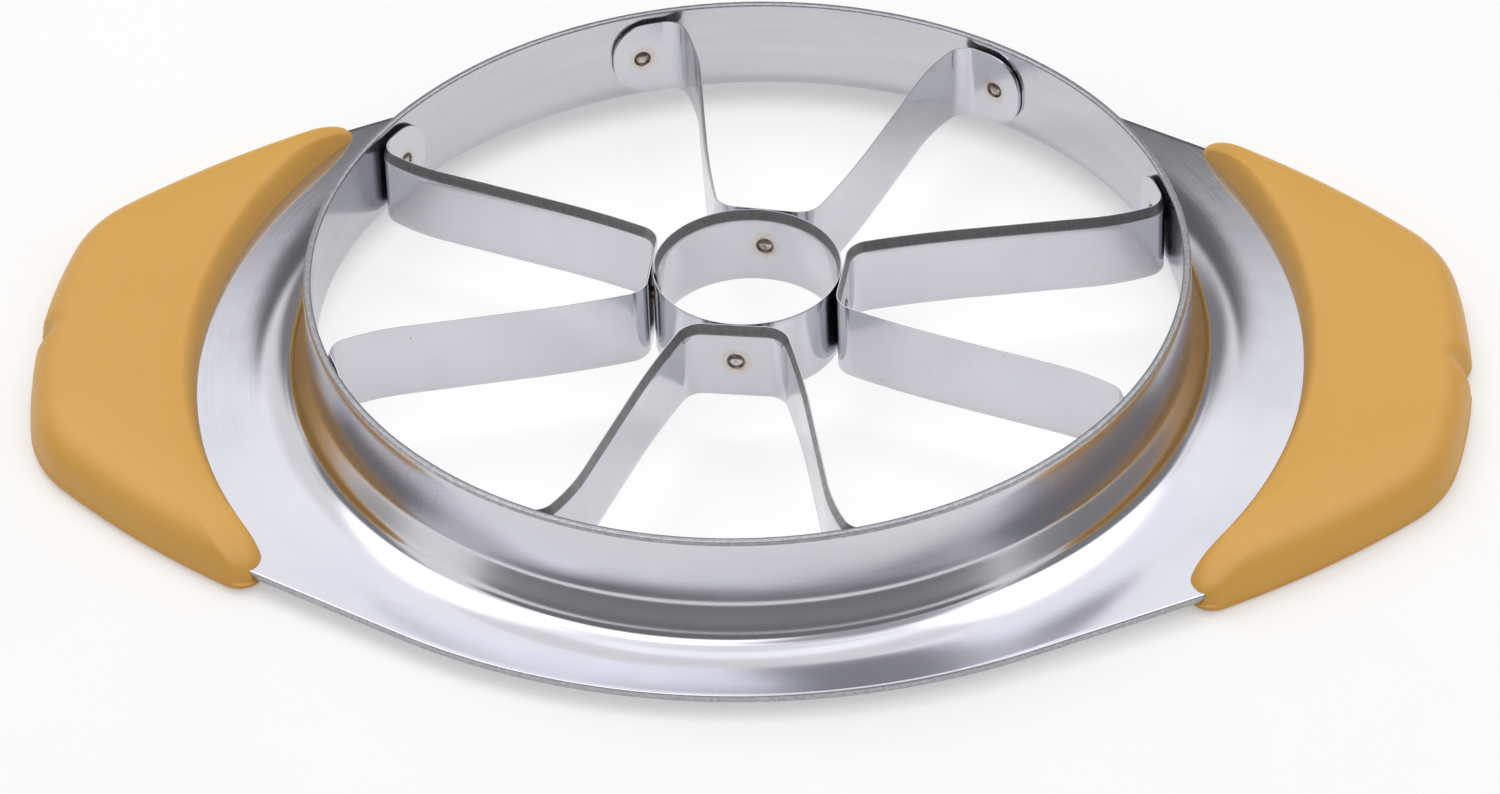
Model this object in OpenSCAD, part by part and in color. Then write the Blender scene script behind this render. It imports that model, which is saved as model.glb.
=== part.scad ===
// Push-down apple slicer and corer: a drawn steel plate with a collar, two moulded
// grips, a core ring and four V-shaped blade strips, spot welded together.
// It stands as it is photographed, with its cutting edges up. Millimetres.
// +X runs along the grips, +Z up, and the origin is on the collar's axis at the
// surface that the grips rest on.

/* [Plate and collar] */
// Outside diameter of the collar at its rim
rim_d = 104; // [92:1:116]
// Thickness of the drawn sheet
sheet_t = 1; // [0.7:0.1:1.3]
// Height of the rim above the flat of the plate
rim_h = 14.3; // [13:0.1:18]
// Width of plate that shows outside the rim at the front and back
front_margin = 9.5; // [7:0.5:14]
// Width of plate that shows between the rim and a grip, on the X axis
side_margin = 13.1; // [9:0.1:18]
// Radius of the plate's edge at the front and back
side_arc_r = 74; // [64:1:90]
// Angle at which the plate's straight flanks fall away
flank_angle = 29; // [24:1:33]
// Length of each straight flank
flank_len = 19; // [14:1:24]
// How far the bead at the collar's foot stands out from the rim
bead_out = 1.65; // [1:0.05:2.2]
// Height of the bead above the flat of the plate
bead_h = 2.75; // [2.3:0.05:3.6]
// How far the collar's foot stands out from the bead
foot_out = 1.25; // [0.9:0.05:1.8]
// How much higher the plate is at the foot than at its flat
dish_rise = 1.25; // [0.5:0.05:1.6]
// Width of the dished band round the foot
dish_w = 7; // [4:0.5:9]

/* [Grips] */
// Width of a grip across its middle
grip_w = 19.9; // [17:0.1:25]
// How far a grip reaches below the plate
grip_drop = 1.7; // [1:0.1:3]
// How far a grip rises above the flat of the plate
grip_rise = 4; // [2.5:0.1:6]
// How far a grip stands proud of the plate's edge
grip_proud = 1; // [0.6:0.1:1.6]
// Radius of a grip's hollow inner edge in its front half
front_inner_r = 66.6; // [60:0.2:74]
// Radius of that edge in its back half
back_inner_r = 72.6; // [66:0.2:80]
// Radius of a grip's front nose
front_nose_r = 2.6; // [1.8:0.1:3.4]
// Radius of its back nose
back_nose_r = 1.3; // [1.2:0.1:2.8]
// How much nearer the front the left grip was moulded
left_shift = 0.8; // [0:0.1:1.1]
// Radius of the plate's edge where it runs into a grip
shoulder_r = 121; // [100:1:130]
// Radius of the corners at the ends of the plate
corner_r = 16; // [12:1:24]
// Radius of the bulging ends of the plate
end_r = 81; // [65:1:90]
// Width of the rounding along a grip's upper edge
edge_round = 3.4; // [2:0.1:4]
// Rounding of a grip's lower edge
lower_round = 0.6; // [0.3:0.1:0.9]
// How much a grip's top is crowned
crown_h = 0.3; // [0.1:0.05:0.8]
// Depth of the notch in the middle of a grip's end
notch_depth = 1; // [0.5:0.1:1.5]
// Width of that notch
notch_w = 6; // [4:0.5:9]
// How far the plate's hidden tang stays inside a grip's outline
tang_inset = 3; // [2:0.5:5]
// Diameter of the anchor holes in the tang
anchor_d = 6; // [3:0.5:8]
// Spacing of the anchor holes along the grip
anchor_pitch = 16; // [10:0.5:18]

/* [Core ring] */
// Outside diameter of the core ring
ring_d = 22.2; // [18:0.2:26]
// Thickness of its strip
ring_t = 0.5; // [0.4:0.05:0.8]
// Height of the core ring
ring_h = 10; // [8:0.1:11]
// How far the cutting edges lie below the rim
edge_drop = 1.1; // [0.5:0.1:2]
// Gap at the seam of the rolled ring
seam_gap = 0.8; // [0.3:0.1:1.2]
// Direction of the seam, from the X axis
seam_angle = 191; // [189:1:196]

/* [Blades] */
// Thickness of the blade strip
blade_t = 0.5; // [0.4:0.05:0.8]
// Height of the blade strip
blade_h = 10; // [9.5:0.1:11]
// Height of the ground edge
ground_h = 1.3; // [0.8:0.1:2]
// Thickness that is left at the cutting edge
edge_t = 0.12; // [0.08:0.02:0.2]
// Distance between the arms where they would meet the pad square
pad_w = 11.6; // [10:0.2:13]
// Inside radius of the bends at the pad
pad_bend_r = 2.6; // [1.5:0.1:3.2]
// Angle of the gentle bow by which an arm leaves its pad
bow_turn = 6; // [2:0.5:9]
// Radius of that bow
bow_r = 120; // [60:5:140]
// Angle of the gentle turn by which an arm runs out to its tab
lead_turn = 16; // [8:1:22]
// Radius of that turn
lead_r = 26; // [14:1:36]
// Inside radius of the bends at the tabs
tab_bend_r = 2.4; // [1.6:0.1:4]
// Length of a tab along the collar
tab_len = 6.3; // [5:0.1:9]
// Radius of the corners at a tab's free end
tab_round = 4.4; // [2:0.1:4.6]
// Gap between a tab and the collar
tab_gap = 0.15; // [0.1:0.05:0.4]
// Gap between a pad and the core ring
pad_gap = 0.05; // [0.03:0.01:0.2]
// Direction of the right-hand blade's V, from the X axis
turn_right = -4.7; // [-10:0.1:2]
// Direction of the back blade's V
turn_back = 83.6; // [80:0.1:98]
// Direction of the left-hand blade's V
turn_left = 177.1; // [172:0.1:184]
// Direction of the front blade's V
turn_front = 267.4; // [262:0.1:278]
// Angle between the straight of each arm of the right-hand blade and the middle of its V
spread_right = 15.2; // [12.6:0.1:18.6]
// The same angle on the back blade
spread_back = 14.1; // [12.6:0.1:18.6]
// The same angle on the left-hand blade
spread_left = 16.9; // [12.6:0.1:18.6]
// The same angle on the front blade
spread_front = 14.7; // [12.6:0.1:18.6]

/* [Spot welds] */
// Diameter of a weld nugget
weld_d = 2.1; // [1.5:0.1:3]
// How far a weld on a tab is from the tab's free end
weld_inset = 3.6; // [2.5:0.1:4]
// Depth of the electrode's dimple
dimple = 0.15; // [0.08:0.01:0.25]

/* [Hidden] */
$fn = 96;

rim_r = rim_d / 2;
plate_z = grip_drop + sheet_t;          // top of the plate's flat
rim_z = plate_z + rim_h;
half_w = rim_r + front_margin;
grip_in_x = rim_r + side_margin;
half_len = grip_in_x + grip_w;
wall_in = rim_r - sheet_t;              // inside radius of the collar
bead_r = rim_r + bead_out;
foot_r = bead_r + foot_out;
flat_r = foot_r + dish_w;               // where the plate becomes flat
seam_r = flat_r + sheet_t;              // the turned part of the plate ends here
edge_z = rim_z - edge_drop;             // height of the cutting edges
ring_r = ring_d / 2;
weld_z = edge_z - blade_h / 2;
reach = 2 * rim_z;                      // longer than any cut

// ---- plane geometry ----
function polar(r, a) = r * [cos(a), sin(a)];
function angle_of(v) = atan2(v.y, v.x);
// Points along an arc, without its last one
function arc(c, r, a0, a1, n) = [for (i = [0 : n - 1]) c + polar(r, a0 + (a1 - a0) * i / n)];
// Points from number a down to number b, mirrored by the signs in way
function mirrored(pts, way, a, b) = [for (i = [a : -1 : b]) [way.x * pts[i].x, way.y * pts[i].y]];
// Where two circles cross, to the right of the way from p to q
function meet(p, pr, q, qr) =
    let (d = norm(q - p), u = (q - p) / d, a = (pr * pr - qr * qr + d * d) / (2 * d))
    p + a * u + sqrt(pr * pr - a * a) * [u.y, -u.x];

// ---- the plate's outline: a chain of arcs that run into each other ----
side_c = [0, half_w - side_arc_r];
flank_end = side_c + polar(side_arc_r, 90 - flank_angle) + polar(flank_len, -flank_angle);
shoulder_c = flank_end - polar(shoulder_r, 90 - flank_angle);
end_c = [half_len - grip_proud - end_r, 0];
corner_c = meet(shoulder_c, shoulder_r - corner_r, end_c, end_r - corner_r);
shoulder_a = angle_of(corner_c - shoulder_c);
corner_a = angle_of(corner_c - end_c);

// A quarter of the outline, moved outwards by k, from the back to the end
function quarter(k) = concat(
    arc(side_c, side_arc_r + k, 90, 90 - flank_angle, 20),
    arc(shoulder_c, shoulder_r + k, 90 - flank_angle, shoulder_a, 10),
    arc(corner_c, corner_r + k, shoulder_a, corner_a, 12),
    arc(end_c, end_r + k, corner_a, 0, 4),
    [end_c + [end_r + k, 0]]);
function half(k) = let (q = quarter(k)) concat(q, mirrored(q, [1, -1], len(q) - 2, 0));
module outline(k) {
    h = half(k);
    polygon(concat(h, mirrored(h, [-1, 1], len(h) - 2, 1)));
}

// ---- the plate with its collar ----
flare_h = 3.5;                          // height over which the wall flares to the bead
flare_turn = 2 * atan(bead_out / flare_h);
flare_r = flare_h / sin(flare_turn);
flare_z = plate_z + bead_h + flare_h;
bend_turn = 65;                         // how far each bend turns before it meets the dish
foot_z = plate_z + dish_rise;

// A bend from p to q that starts upright, with n points after p
function bend(p, q, n) = [for (i = [1 : n]) let (a = bend_turn * i / n)
    [p.x + (q.x - p.x) * (1 - cos(a)) / (1 - cos(bend_turn)),
        p.y + (q.y - p.y) * sin(a) / sin(bend_turn)]];
function dish(z, n) = concat(
    [for (i = [1 : n]) let (s = i / n)
        [foot_r + dish_w * s, z + dish_rise * (1 - s) * (1 - s)]],
    [[seam_r, z]]);
outer_path = concat(
    [[rim_r, rim_z]],
    [for (i = [0 : 10]) let (a = flare_turn * i / 10)
        [rim_r + flare_r * (1 - cos(a)), flare_z - flare_r * sin(a)]],
    bend([bead_r, plate_z + bead_h], [foot_r, foot_z], 6),
    dish(plate_z, 8));
inner_path = concat(
    [[wall_in, rim_z], [wall_in, flare_z - sheet_t]],
    bend([wall_in, flare_z - sheet_t], [foot_r, foot_z - sheet_t], 12),
    dish(grip_drop, 8));
module collar() {
    rotate_extrude($fn = 180)
        polygon(concat(outer_path, mirrored(inner_path, [1, 1], len(inner_path) - 1, 0)));
}

tang_x = flank_end.x + front_nose_r;    // where the plate narrows, inside the grips
module plate_outline() {
    intersection() {
        outline(0);
        square([2 * tang_x, 3 * half_w], center = true);
    }
    outline(grip_proud - tang_inset);
}

anchor_x = (grip_in_x + half_len - tang_inset) / 2;
anchor_lead = 1.5;                      // the outer anchors follow the grip's curve
module anchors() {
    for (i = [-1 : 1])
        translate([anchor_x - anchor_lead * abs(i), anchor_pitch * i, -reach / 2])
            cylinder(d = anchor_d, h = reach);
}

module sheet() {
    translate([0, 0, grip_drop]) linear_extrude(sheet_t) plate_outline();
}

module frame_plate() {
    color("gainsboro") difference() {
        union() {
            difference() {
                sheet();
                cylinder(r = flat_r + sheet_t / 2, h = reach);
            }
            intersection() {
                collar();
                linear_extrude(reach) plate_outline();
            }
        }
        for (s = [0, 1]) mirror([s, 0, 0]) anchors();
        for (i = [0 : 7]) rim_weld_seat(i) cylinder(d = weld_d, h = 2 * weld_bite, center = true);
    }
}

// ---- grips, moulded round the plate's ends ----
crown_w = 4.5;                          // width of the crowned band inside the rounding
least_nose = 0.4;                       // radius that a nose keeps where it is drawn in
hollow_n = 14;                          // points along each half of the hollow edge
nose_n = 9;                             // points round a nose
top_z = plate_z + grip_rise;

// Half of a grip's outline, drawn in by d, from the inner edge round to the notch
function grip_half(d, inner_r, nose_r) =
    let (out = grip_proud - d, r = max(nose_r - d, least_nose), inner_c = [grip_in_x - inner_r, 0],
        c = meet(shoulder_c, shoulder_r + out - r, inner_c, inner_r + d + r),
        inner_a = angle_of(c - inner_c), outer_a = angle_of(c - shoulder_c),
        notch_a = asin(notch_w / 2 / (end_r + out)),
        cut = notch_depth * max(0, 1 - d / edge_round))
    concat(
        arc(inner_c, inner_r + d, 0, inner_a, hollow_n),
        arc(c, r, inner_a + 180, outer_a, nose_n),
        arc(shoulder_c, shoulder_r + out, outer_a, shoulder_a, 8),
        arc(corner_c, corner_r + out, shoulder_a, corner_a, 9),
        arc(end_c, end_r + out, corner_a, notch_a, 3),
        [end_c + polar(end_r + out, notch_a), end_c + [end_r + out - cut, notch_w / 8]]);
function grip_ring(z, d) =
    let (b = grip_half(d, back_inner_r, back_nose_r), f = grip_half(d, front_inner_r, front_nose_r))
    [for (p = concat(b, mirrored(f, [1, -1], len(f) - 1, 1))) [p.x, p.y, z]];

round_h = grip_rise - crown_h;
// From the top down
grip_rings = concat(
    [grip_ring(top_z, edge_round + crown_w),
        grip_ring(top_z - 0.3 * crown_h, edge_round + crown_w / 2)],
    [for (a = [90 : -15 : 0]) grip_ring(plate_z + round_h * sin(a), edge_round * (1 - cos(a)))],
    [for (a = [0, 45, 90]) grip_ring(lower_round * (1 - sin(a)), lower_round * (1 - cos(a)))]);

// Closes a row of rings that all have the same number of points and run clockwise when they
// are seen from the row's far end. The cap lists the faces that fill the first ring.
module skin(rings, cap) {
    n = len(rings[0]);
    m = len(rings);
    polyhedron(
        points = [for (r = rings) each r],
        faces = concat(
            cap,
            [for (k = [0 : m - 2]) for (i = [0 : n - 1]) let (a = k * n + i, b = k * n + (i + 1) % n)
                each [[a, a + n, b], [b, a + n, b + n]]],
            [for (f = cap) [for (i = [len(f) - 1 : -1 : 0]) (m - 1) * n + f[i]]]));
}

// Fills a grip's ring with faces that bulge outwards only: each runs from one step of the
// hollow edge to the outer edge
ring_n = len(grip_rings[0]);
dent = (ring_n - 1) / 2;                // the notch's point on the back side
last = hollow_n - 1;
nose_end = hollow_n + nose_n;
function across(i) = dent - 1 - round(i * (dent - 1 - nose_end) / last);
grip_cap = concat(
    [for (p = [dent - 1 : dent + 1]) [0, p, p + 1]],
    [[for (p = [last : nose_end]) p], [for (p = [ring_n - nose_end : ring_n - last]) p]],
    [for (i = [0 : last - 1]) each [
        concat([i, i + 1], [for (p = [across(i + 1) : across(i)]) p]),
        concat([for (p = [ring_n - across(i) : ring_n - across(i + 1)]) p],
            [ring_n - i - 1, (ring_n - i) % ring_n])]]);

module grip(shift) {
    color("goldenrod") difference() {
        translate([0, -shift, 0]) skin(grip_rings, grip_cap);
        difference() {
            sheet();
            anchors();
        }
    }
}
module grip_right() { grip(0); }
module grip_left() { mirror([1, 0, 0]) grip(left_shift); }

// ---- core ring, rolled from strip and ground inside its top edge ----
module core_ring() {
    color("silver") difference() {
        rotate_extrude($fn = 180) polygon([
            [ring_r - ring_t, edge_z - ring_h], [ring_r, edge_z - ring_h], [ring_r, edge_z],
            [ring_r - edge_t, edge_z], [ring_r - ring_t, edge_z - ground_h]]);
        rotate(seam_angle) translate([0, -seam_gap / 2, 0]) cube([reach, seam_gap, reach]);
        for (i = [0 : 3]) hub_weld_seat(i) weld_hole();
    }
}

// ---- blades: one strip bent into a V, with a tab at each end ----
turns = [turn_right, turn_back, turn_left, turn_front];
spreads = [spread_right, spread_back, spread_left, spread_front];
pad_x = ring_r + pad_gap;               // plain face of the pad
pad_out_r = pad_bend_r + blade_t;
tab_r = wall_in - tab_gap - blade_t;    // plain face of the tabs
bend_steps = 8;                         // stations in a bend
turn_steps = 4;                         // stations in an arm's gentle turns
function turn_of(length) = length / tab_r * 180 / PI;

// Centres of the turns of an arm whose straight is at angle a from the middle of a V that
// points along +X: the pad's bend, the bow, the lead and the tab's bend
function left_of(a) = polar(1, a + 90);
function pad_bend_c(a) =
    [pad_x, pad_w / 2] + pad_out_r * [1, -tan(45 - (a + bow_turn) / 2)];
function bow_c(a) = pad_bend_c(a) + (pad_out_r - bow_r) * left_of(a + bow_turn);
// How far the tab bend's centre is from where the straight starts, apart from the straight
function tab_offset(a) = lead_r * left_of(a) - (lead_r - tab_bend_r) * left_of(a + lead_turn);
function tab_bend_c(a) =
    let (p = bow_c(a) + bow_r * left_of(a) + tab_offset(a), way = polar(1, a), side = p * left_of(a))
    p + way * (sqrt(pow(tab_r - tab_bend_r, 2) - side * side) - p * way);
function lead_c(a) = tab_bend_c(a) + (lead_r - tab_bend_r) * left_of(a + lead_turn);
function tab_a(a) = angle_of(tab_bend_c(a));
function tab_end_a(a) = tab_a(a) + turn_of(tab_len);
function weld_a(a) = tab_end_a(a) - turn_of(weld_inset);

// A station on the plain face: its place, the way to the ground face and half the height there.
// The n stations after angle a0, up to a1, of a bend with its ground face outwards if side is 1
function stations(c, r, a0, a1, side, n) = [for (i = [1 : n])
    let (a = a0 + (a1 - a0) * i / n) [c + polar(r, a), polar(side, a), blade_h / 2]];
// Stations from the rounded end of a tab, over its bend, to the pad
function half_strip(a) = concat(
    [for (t = [0 : 15 : 90]) let (q = tab_end_a(a) - turn_of(tab_round * (1 - cos(t))))
        [polar(tab_r, q), polar(1, q), blade_h / 2 - tab_round * (1 - sin(t))]],
    stations(tab_bend_c(a), tab_bend_r, tab_a(a) + 1, tab_a(a), 1, 1),
    stations(tab_bend_c(a), tab_bend_r, tab_a(a), a + lead_turn - 90, 1, bend_steps),
    stations(lead_c(a), lead_r, a + lead_turn - 90, a - 90, 1, turn_steps),
    stations(bow_c(a), bow_r, a + 89, a + 90, -1, 1),
    stations(bow_c(a), bow_r, a + 90, a + 90 + bow_turn, -1, turn_steps),
    stations(pad_bend_c(a), pad_out_r, a + 90 + bow_turn, 180, -1, bend_steps));
// Section of the strip: distance from the plain face, and height above the middle
strip_section = [[0, -blade_h / 2], [blade_t, -blade_h / 2], [blade_t, blade_h / 2 - ground_h],
    [edge_t, blade_h / 2], [0, blade_h / 2]];
function strip_ring(station, way) = [for (p = strip_section)
    let (q = station[0] + p.x * station[1], h = station[2])
    [q.x, way * q.y, weld_z + max(-h, min(h, p.y))]];
module strip(a) {
    path = half_strip(a);
    skin(concat(
        [for (s = path) strip_ring(s, 1)],
        [for (i = [len(path) - 1 : -1 : 0]) strip_ring(path[i], -1)]),
        [[0, 1, 2, 3, 4]]);
}
module blade(i) {
    color("silver") difference() {
        rotate(turns[i]) strip(spreads[i]);
        for (k = [0, 1]) rim_weld_seat(2 * i + k) weld_hole();
        hub_weld_seat(i) weld_hole();
    }
}
module blade_right() { blade(0); }
module blade_back() { blade(1); }
module blade_left() { blade(2); }
module blade_front() { blade(3); }

// ---- spot welds: a nugget fills a hole through the pieces that it joins ----
weld_bite = sheet_t / 2;                // how deep a nugget goes into the collar
weld_r = weld_d / 2;
weld_lip = 0.08;                        // height of the ring raised round a dimple

// Puts its children at a weld, with +Z outwards and 0 on the collar's inner face
module rim_weld_seat(i) {
    k = floor(i / 2);
    rotate(turns[k] + (i % 2 == 0 ? 1 : -1) * weld_a(spreads[k]))
        translate([wall_in, 0, weld_z]) rotate([0, 90, 0]) children();
}
// Puts its children at a weld, with +Z outwards and 0 on the core ring's outer face
module hub_weld_seat(i) {
    rotate(turns[i]) translate([ring_r, 0, weld_z]) rotate([0, 90, 0]) children();
}
module weld_hole() {
    cylinder(d = weld_d, h = 4 * blade_t, center = true);
}
// Half section of a dimpled face at height z that looks the way of side
function dimpled(z, side) = [for (p = [[1, 0], [0.9, weld_lip], [0.75, weld_lip], [0.5, -dimple],
    [0.2, -dimple], [0, -dimple / 2]]) [weld_r * p.x, z + side * p.y]];
module rim_weld(i) {
    color("tan") rim_weld_seat(i) rotate_extrude() polygon(concat(
        dimpled(-tab_gap - blade_t, -1), [[0, weld_bite], [weld_r, weld_bite]]));
}
module hub_weld(i) {
    inner = dimpled(-ring_t, -1);
    color("tan") hub_weld_seat(i) rotate_extrude() polygon(concat(
        inner, mirrored(dimpled(pad_gap + blade_t, 1), [1, 1], len(inner) - 1, 0)));
}
module rim_weld_1() { rim_weld(0); }
module rim_weld_2() { rim_weld(1); }
module rim_weld_3() { rim_weld(2); }
module rim_weld_4() { rim_weld(3); }
module rim_weld_5() { rim_weld(4); }
module rim_weld_6() { rim_weld(5); }
module rim_weld_7() { rim_weld(6); }
module rim_weld_8() { rim_weld(7); }
module hub_weld_1() { hub_weld(0); }
module hub_weld_2() { hub_weld(1); }
module hub_weld_3() { hub_weld(2); }
module hub_weld_4() { hub_weld(3); }

frame_plate();
grip_left();
grip_right();
core_ring();
blade_right();
blade_back();
blade_left();
blade_front();
rim_weld_1();
rim_weld_2();
rim_weld_3();
rim_weld_4();
rim_weld_5();
rim_weld_6();
rim_weld_7();
rim_weld_8();
hub_weld_1();
hub_weld_2();
hub_weld_3();
hub_weld_4();
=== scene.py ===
"""The looks of a push-down apple slicer and corer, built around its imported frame.

Sizes are in millimetres on the frame's axes, and each mesh is scaled to metres as it is made.
"""
import math

import bmesh
import bpy
import numpy as np
from mathutils import Matrix, Vector, noise


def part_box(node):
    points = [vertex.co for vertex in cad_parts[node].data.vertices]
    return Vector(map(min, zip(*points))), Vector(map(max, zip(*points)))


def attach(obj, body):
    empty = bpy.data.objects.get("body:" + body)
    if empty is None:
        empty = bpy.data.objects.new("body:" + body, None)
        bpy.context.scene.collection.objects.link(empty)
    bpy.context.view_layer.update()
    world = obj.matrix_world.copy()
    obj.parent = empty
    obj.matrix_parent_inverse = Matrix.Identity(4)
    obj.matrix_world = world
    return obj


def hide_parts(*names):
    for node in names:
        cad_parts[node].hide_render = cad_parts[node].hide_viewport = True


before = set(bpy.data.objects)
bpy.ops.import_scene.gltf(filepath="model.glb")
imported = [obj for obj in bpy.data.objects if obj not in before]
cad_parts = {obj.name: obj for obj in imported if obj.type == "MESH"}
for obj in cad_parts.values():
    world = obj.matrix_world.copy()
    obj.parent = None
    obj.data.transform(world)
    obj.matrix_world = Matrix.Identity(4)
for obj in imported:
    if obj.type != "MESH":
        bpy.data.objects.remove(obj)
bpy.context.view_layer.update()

MM = 0.001
FINE = 1.0       # share of the full mesh density


def box_mm(node):
    low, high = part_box(node)
    return np.array(low) / MM, np.array(high) / MM


def count(full):
    return max(3, round(full * FINE))


# ---- sizes read from the frame ----
plate_low, plate_high = box_mm("frame_plate")
GRIP_TOP = box_mm("grip_right")[1][2]
ring_low, ring_high = box_mm("core_ring")
blade_low, blade_high = box_mm("blade_right")
RIM_Z = plate_high[2]
HALF_W = plate_high[1]
EDGE_Z = blade_high[2]
BLADE_H = EDGE_Z - blade_low[2]
RING_H = EDGE_Z - ring_low[2]
RING_R = ring_high[1]
WELD_Z = EDGE_Z - BLADE_H / 2

# ---- the frame's other driving sizes ----
SHEET_T = 1.0
RIM_R = 52.0
SIDE_MARGIN = 13.1
SIDE_ARC_R = 74.0
FLANK_ANGLE = 29.0
FLANK_LEN = 19.0
SHOULDER_R = 121.0
CORNER_R = 16.0
END_R = 81.0
BEAD_OUT = 1.65
BEAD_H = 2.75
FOOT_OUT = 1.25
DISH_RISE = 1.25
DISH_W = 7.0
BEND_TURN = 65.0
GRIP_PROUD = 1.0
GRIP_W = 19.9
FRONT_INNER_R = 66.6
BACK_INNER_R = 72.6
FRONT_NOSE_R = 2.6
BACK_NOSE_R = 1.3
LEFT_SHIFT = 0.8
EDGE_ROUND = 3.4
LOWER_ROUND = 0.6
CROWN_H = 0.3
CROWN_W = 4.5
NOTCH_DEPTH = 1.0
NOTCH_W = 6.0
TANG_INSET = 3.0
BLADE_T = 0.5
EDGE_T = 0.12
GROUND_H = 1.3
RING_T = 0.5
SEAM_GAP = 0.8
SEAM_ANGLE = 191.0
PAD_W = 11.6
PAD_GAP = 0.05
PAD_BEND_R = 2.6
TAB_GAP = 0.15
BOW_TURN = 6.0
BOW_R = 120.0
LEAD_TURN = 16.0
LEAD_R = 26.0
TAB_BEND_R = 2.4
TAB_LEN = 6.3
TAB_ROUND = 4.4
WELD_R = 1.05
WELD_INSET = 3.6
BLADES = {                               # direction of each V and of its arms, in degrees
    "right": (-4.7, 15.2),
    "back": (83.6, 14.1),
    "left": (177.1, 16.9),
    "front": (267.4, 14.7),
}

PLATE_Z = plate_low[2] + SHEET_T         # top of the plate's flat
WALL_IN = RIM_R - SHEET_T
BEAD_R = RIM_R + BEAD_OUT
FOOT_R = BEAD_R + FOOT_OUT
FOOT_Z = PLATE_Z + DISH_RISE
GRIP_IN_X = RIM_R + SIDE_MARGIN
HALF_LEN = GRIP_IN_X + GRIP_W
TAB_R = WALL_IN - TAB_GAP - BLADE_T
PAD_X = RING_R + PAD_GAP


# ---- plane geometry ----
def polar(radius, degrees):
    turn = np.radians(degrees)
    return np.stack([radius * np.cos(turn), radius * np.sin(turn)], -1)


def angle_of(v):
    return math.degrees(math.atan2(v[1], v[0]))


def arc(centre, radius, start, end, steps, last=False):
    """Points along an arc, without its last one unless it is asked for."""
    return np.array(centre) + polar(radius, np.linspace(start, end, steps + 1))[: steps + last]


def meet(p, p_r, q, q_r):
    """Where two circles cross, to the right of the way from p to q."""
    p, q = np.array(p, float), np.array(q, float)
    d = np.linalg.norm(q - p)
    u = (q - p) / d
    a = (p_r**2 - q_r**2 + d**2) / (2 * d)
    return p + a * u + math.sqrt(p_r**2 - a**2) * np.array([u[1], -u[0]])


# ---- the plate's outline, a chain of arcs ----
side_c = np.array([0, HALF_W - SIDE_ARC_R])
flank_start = side_c + polar(SIDE_ARC_R, 90 - FLANK_ANGLE)
flank_end = flank_start + polar(FLANK_LEN, -FLANK_ANGLE)
shoulder_c = flank_end - polar(SHOULDER_R, 90 - FLANK_ANGLE)
end_c = np.array([HALF_LEN - GRIP_PROUD - END_R, 0])
corner_c = meet(shoulder_c, SHOULDER_R - CORNER_R, end_c, END_R - CORNER_R)
shoulder_a = angle_of(corner_c - shoulder_c)
corner_a = angle_of(corner_c - end_c)
tang_x = flank_end[0] + FRONT_NOSE_R     # the plate narrows here, under the grips' noses


def quarter_outline(k):
    """A dense quarter of the outline moved outwards by k, from the end round to the back."""
    parts = [
        arc(side_c, SIDE_ARC_R + k, 90, 90 - FLANK_ANGLE, 80),
        flank_start + polar(k, 90 - FLANK_ANGLE) + np.outer(
            np.linspace(0, 1, 40, endpoint=False), flank_end - flank_start),
        arc(shoulder_c, SHOULDER_R + k, 90 - FLANK_ANGLE, shoulder_a, 60),
        arc(corner_c, CORNER_R + k, shoulder_a, corner_a, 60),
        arc(end_c, END_R + k, corner_a, 0, 40, last=True),
    ]
    return np.concatenate(parts)[::-1]


def outline_radius(k, turn):
    """Distance from the axis to the outline moved by k, in the directions in turn."""
    pts = quarter_outline(k)
    folded = np.arctan2(np.abs(np.sin(turn)), np.abs(np.cos(turn)))
    return np.interp(folded, np.arctan2(pts[:, 1], pts[:, 0]), np.hypot(pts[:, 0], pts[:, 1]))


def plate_radius(turn):
    across = tang_x / np.maximum(np.abs(np.cos(turn)), 1e-6)
    return np.maximum(np.minimum(outline_radius(0, turn), across),
                      outline_radius(GRIP_PROUD - TANG_INSET, turn))


# ---- meshes ----
def wobble(points, size, seed):
    """Smooth noise from -1 to 1 at each point, with features of about that size."""
    shift = Vector((seed * 17.3, seed * 5.1, seed * 9.7))
    flat = np.asarray(points, float).reshape(-1, 3) / size
    values = [noise.noise(Vector(p) + shift) for p in flat]
    return np.array(values).reshape(np.asarray(points).shape[:-1])


def make_object(name, points, faces, sharp=35):
    mesh = bpy.data.meshes.new(name)
    mesh.from_pydata((np.asarray(points).reshape(-1, 3) * MM).tolist(), [], faces)
    work = bmesh.new()
    work.from_mesh(mesh)
    bmesh.ops.remove_doubles(work, verts=work.verts, dist=1e-7)
    bmesh.ops.dissolve_degenerate(work, edges=work.edges, dist=1e-8)
    bmesh.ops.recalc_face_normals(work, faces=work.faces)
    work.to_mesh(mesh)
    work.free()
    obj = bpy.data.objects.new(name, mesh)
    bpy.context.scene.collection.objects.link(obj)
    smooth(obj, sharp)
    return obj


def smooth(obj, sharp):
    obj.data.shade_smooth()
    obj.data.set_sharp_from_angle(angle=math.radians(sharp))


def loft(rings, closed):
    """Faces of rings of points that are each a closed loop, joined in a row or in a circle."""
    m, n = rings.shape[:2]
    faces = []
    for k in range(m if closed else m - 1):
        a, b = k * n, (k + 1) % m * n
        faces += [(a + i, b + i, b + (i + 1) % n, a + (i + 1) % n) for i in range(n)]
    if not closed:
        faces += [tuple(range(n)), tuple((m - 1) * n + i for i in reversed(range(n)))]
    return faces


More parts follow.
